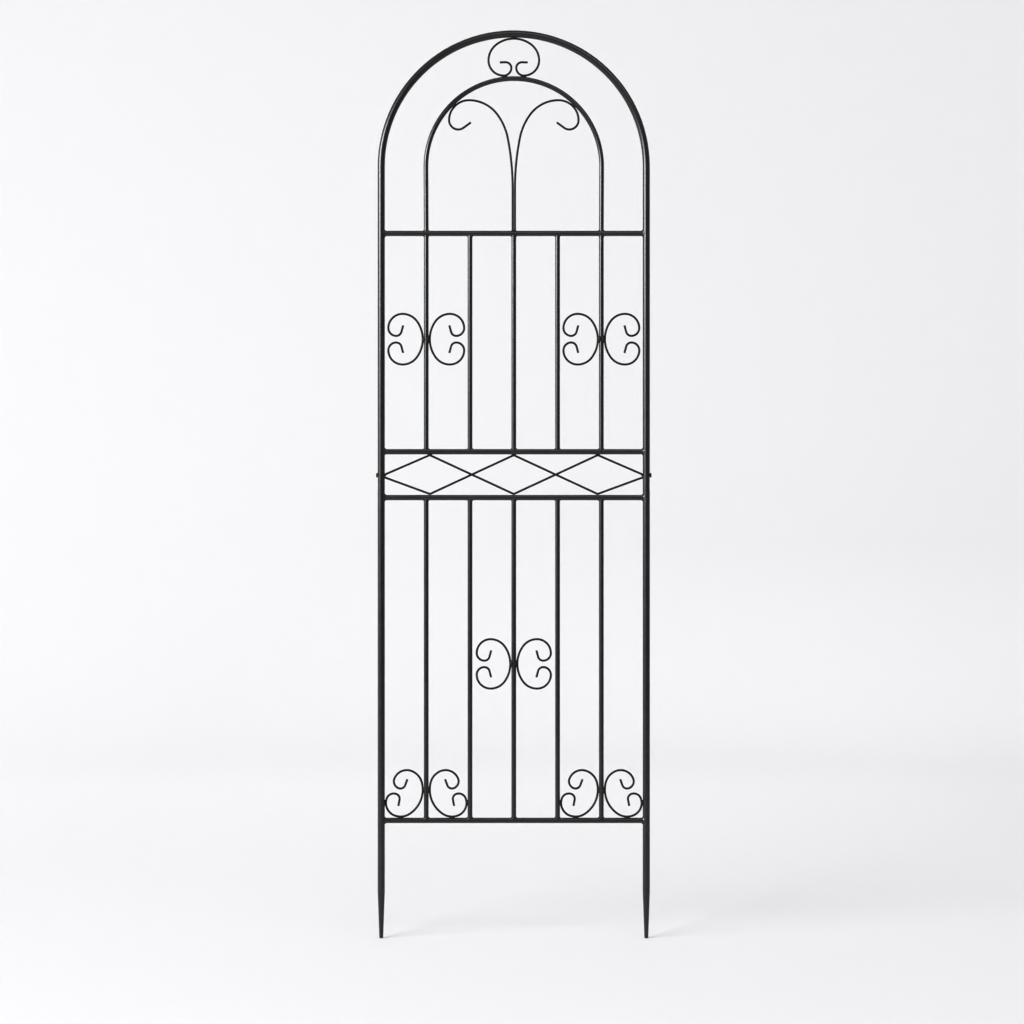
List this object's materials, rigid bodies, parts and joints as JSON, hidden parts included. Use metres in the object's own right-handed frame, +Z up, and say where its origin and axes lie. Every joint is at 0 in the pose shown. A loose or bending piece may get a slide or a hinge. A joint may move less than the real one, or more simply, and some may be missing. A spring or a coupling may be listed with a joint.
{
  "type": "garden trellis",
  "caption": "Flat arched garden trellis of coated steel tube with bent-wire scrolls, a diamond lattice band and push-in stakes; the upper panel plugs onto pins and is held by side screws.",
  "frame": {"origin": "on the middle line between the stakes, at the level of their tips", "axes": "+Z up, X across the trellis, Y through its thickness; the front faces -Y"},
  "size_m": [0.4622, 0.012, 1.5239],
  "materials": {
    "coated_tube": "satin black powder coat",
    "coated_wire": "satin black powder coat",
    "black_screw": "black-coated steel",
    "plated_pin": "dull zinc plating"
  },
  "bodies": {
    "lower_panel": {"left_stake": "coated_tube", "right_stake": "coated_tube", "lower_middle_rail": "coated_tube", "bottom_rail": "coated_tube", "lower_bar_outer_left": "coated_tube", "lower_bar_inner_left": "coated_tube", "lower_bar_middle": "coated_tube", "lower_bar_inner_right": "coated_tube", "lower_bar_outer_right": "coated_tube", "centre_scroll_left": "coated_wire", "centre_scroll_right": "coated_wire", "base_scroll_left_outer": "coated_wire", "base_scroll_left_inner": "coated_wire", "base_scroll_right_inner": "coated_wire", "base_scroll_right_outer": "coated_wire", "connecting_pin_left": "plated_pin", "connecting_pin_right": "plated_pin"},
    "upper_panel": {"outer_arch": "coated_tube", "inner_arch": "coated_tube", "top_rail": "coated_tube", "upper_middle_rail": "coated_tube", "upper_bar_outer_left": "coated_tube", "upper_bar_inner_left": "coated_tube", "upper_bar_middle": "coated_tube", "upper_bar_inner_right": "coated_tube", "upper_bar_outer_right": "coated_tube", "crown_scroll": "coated_wire", "fountain_scroll_left": "coated_wire", "fountain_scroll_right": "coated_wire", "upper_scroll_left_outer": "coated_wire", "upper_scroll_left_inner": "coated_wire", "upper_scroll_right_inner": "coated_wire", "upper_scroll_right_outer": "coated_wire", "lattice_wire_front": "coated_wire", "lattice_wire_back": "coated_wire"},
    "left_screw": {"screw_left": "black_screw"},
    "right_screw": {"screw_right": "black_screw"}
  },
  "joints": [
    {"name": "upper_panel_lift", "type": "slide", "parent": "lower_panel", "child": "upper_panel", "axis": [0, 0, 1], "range_m": [0, 0.06]},
    {"name": "left_screw_out", "type": "slide", "parent": "lower_panel", "child": "left_screw", "axis": [-1, 0, 0], "range_m": [0, 0.014]},
    {"name": "right_screw_out", "type": "slide", "parent": "lower_panel", "child": "right_screw", "axis": [1, 0, 0], "range_m": [0, 0.014]}
  ]
}
